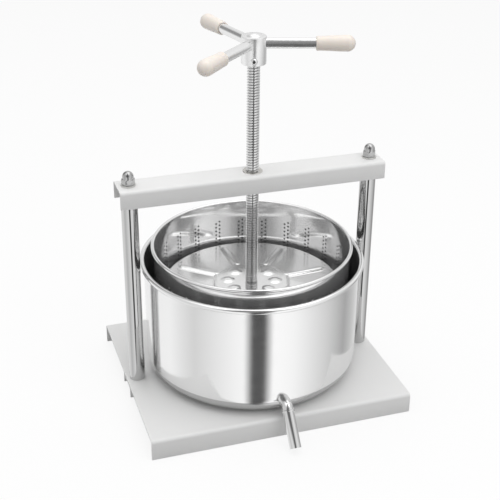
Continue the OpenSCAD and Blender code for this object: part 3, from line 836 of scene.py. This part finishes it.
HALF_FLOOR = 30
mesh = bpy.data.meshes.new("studio_floor")
mesh.from_pydata([(-HALF_FLOOR, -HALF_FLOOR, 0), (HALF_FLOOR, -HALF_FLOOR, 0),
                  (HALF_FLOOR, HALF_FLOOR, 0), (-HALF_FLOOR, HALF_FLOOR, 0)], [], [(0, 1, 2, 3)])
mesh.materials.append(floor_material())
floor = bpy.data.objects.new("studio_floor", mesh)
bpy.context.scene.collection.objects.link(floor)
floor.visible_glossy = False


def area_lamp(name, place_at, look_at, side, watts):
    """A square lamp that lights the press but isn't seen in its polished parts."""
    data = bpy.data.lights.new(name, "AREA")
    data.shape = "RECTANGLE"
    data.size = data.size_y = side
    data.energy = watts
    obj = bpy.data.objects.new(name, data)
    obj.location = place_at
    obj.rotation_euler = (Vector(look_at) - Vector(place_at)).to_track_quat("-Z", "Y").to_euler()
    obj.visible_glossy = False
    bpy.context.scene.collection.objects.link(obj)


area_lamp("key", (0.5, -1.3, 2.0), (0, 0, 0.15), 2.0, 18)
area_lamp("top", (-0.3, 0.3, 2.4), (0, 0, 0.1), 2.2, 22)

# Brightness of the studio round the press as polished parts see it, by compass angle: 0.5 looks to -Y and
# larger values turn towards +X. White walls at the left and the front right, a narrow black strip between
# them, and a grey stretch at the far right.
AROUND = [(0.0, 0.80), (0.18, 0.88), (0.275, 0.64), (0.43, 0.95), (0.455, 0.045), (0.49, 0.045),
          (0.517, 0.99), (0.58, 0.92), (0.70, 0.60), (0.78, 0.35), (0.87, 0.62), (1.0, 0.80)]
# Above the horizon the walls are darker, and the dark strip is wider; a second one lies behind.
ABOVE = [(0.0, 0.68), (0.04, 0.60), (0.07, 0.20), (0.12, 0.20), (0.17, 0.62), (0.34, 0.66), (0.40, 0.16),
         (0.50, 0.15), (0.54, 0.62), (0.62, 0.90), (0.74, 0.62), (0.80, 0.80), (1.0, 0.68)]
# By height, 0 straight down to 1 straight up: how much the ceiling adds, where above takes over from around,
# and the plain light that dull surfaces get.
CEILING = [(0.0, 1.0), (0.83, 1.0), (0.93, 1.9), (1.0, 2.4)]
HORIZON = [(0.0, 0.0), (0.48, 0.0), (0.6, 1.0), (1.0, 1.0)]
SOFT = [(0.0, 0.5), (0.5, 0.5), (0.75, 0.85), (1.0, 1.0)]
GLOSSY_STRENGTH, SOFT_STRENGTH = 1.16, 0.62


def studio_world():
    world = bpy.data.worlds.new("studio")
    world.use_nodes = True
    nt = world.node_tree
    nt.nodes.clear()

    def math_node(op, a, b):
        n = nt.nodes.new("ShaderNodeMath")
        n.operation = op
        for socket, v in zip(n.inputs, (a, b)):
            if isinstance(v, float):
                socket.default_value = v
            else:
                nt.links.new(v, socket)
        return n.outputs[0]

    def mix_colours(a, b, fac, blend="MIX"):
        mix = nt.nodes.new("ShaderNodeMix")
        mix.data_type = "RGBA"
        mix.blend_type = blend
        if isinstance(fac, float):
            mix.inputs["Factor"].default_value = fac
        else:
            nt.links.new(fac, mix.inputs["Factor"])
        nt.links.new(a, mix.inputs["A"])
        nt.links.new(b, mix.inputs["B"])
        return mix.outputs["Result"]

    def background(strength, colour=None):
        b = nt.nodes.new("ShaderNodeBackground")
        b.inputs["Strength"].default_value = strength
        if colour is None:
            b.inputs["Color"].default_value = rgb(1)
        else:
            nt.links.new(colour, b.inputs["Color"])
        return b.outputs["Background"]

    tc = nt.nodes.new("ShaderNodeTexCoord")
    direction = nt.nodes.new("ShaderNodeSeparateXYZ")
    nt.links.new(tc.outputs["Generated"], direction.inputs["Vector"])
    x, y, z = direction.outputs
    angle = math_node("ARCTAN2", x, math_node("MULTIPLY", y, -1.0))
    compass = math_node("ADD", math_node("DIVIDE", angle, TAU), 0.5)
    height = math_node("MULTIPLY", math_node("ADD", z, 1.0), 0.5)

    above = mix_colours(ramp(nt, compass, ABOVE), ramp(nt, height, CEILING), 1.0, "MULTIPLY")
    walls = mix_colours(ramp(nt, compass, AROUND), above, ramp(nt, height, HORIZON))
    soft = background(SOFT_STRENGTH, ramp(nt, height, SOFT))
    light = mix_shaders(nt, light_path(nt, "Is Glossy Ray"), soft, background(GLOSSY_STRENGTH, walls))
    seen = mix_shaders(nt, light_path(nt, "Is Camera Ray"), light, background(1.0))
    out = nt.nodes.new("ShaderNodeOutputWorld")
    nt.links.new(seen, out.inputs["Surface"])
    return world


bpy.context.scene.world = studio_world()

# The camera stands where the photograph's edges meet best.
cam_data = bpy.data.cameras.new("camera")
cam = bpy.data.objects.new("camera", cam_data)
bpy.context.scene.collection.objects.link(cam)
cam_data.sensor_width = 36.0
cam_data.lens = 76.2253
cam_data.clip_start, cam_data.clip_end = 0.05, 50.0
cam.rotation_mode = "XYZ"
cam.rotation_euler = (1.0954704, -0.0083221, -0.3107328)
cam.location = (AXIS.x - 0.331519, AXIS.y - 1.011011, 0.715556)
bpy.context.scene.camera = cam
bpy.context.scene.view_settings.view_transform = "Standard"
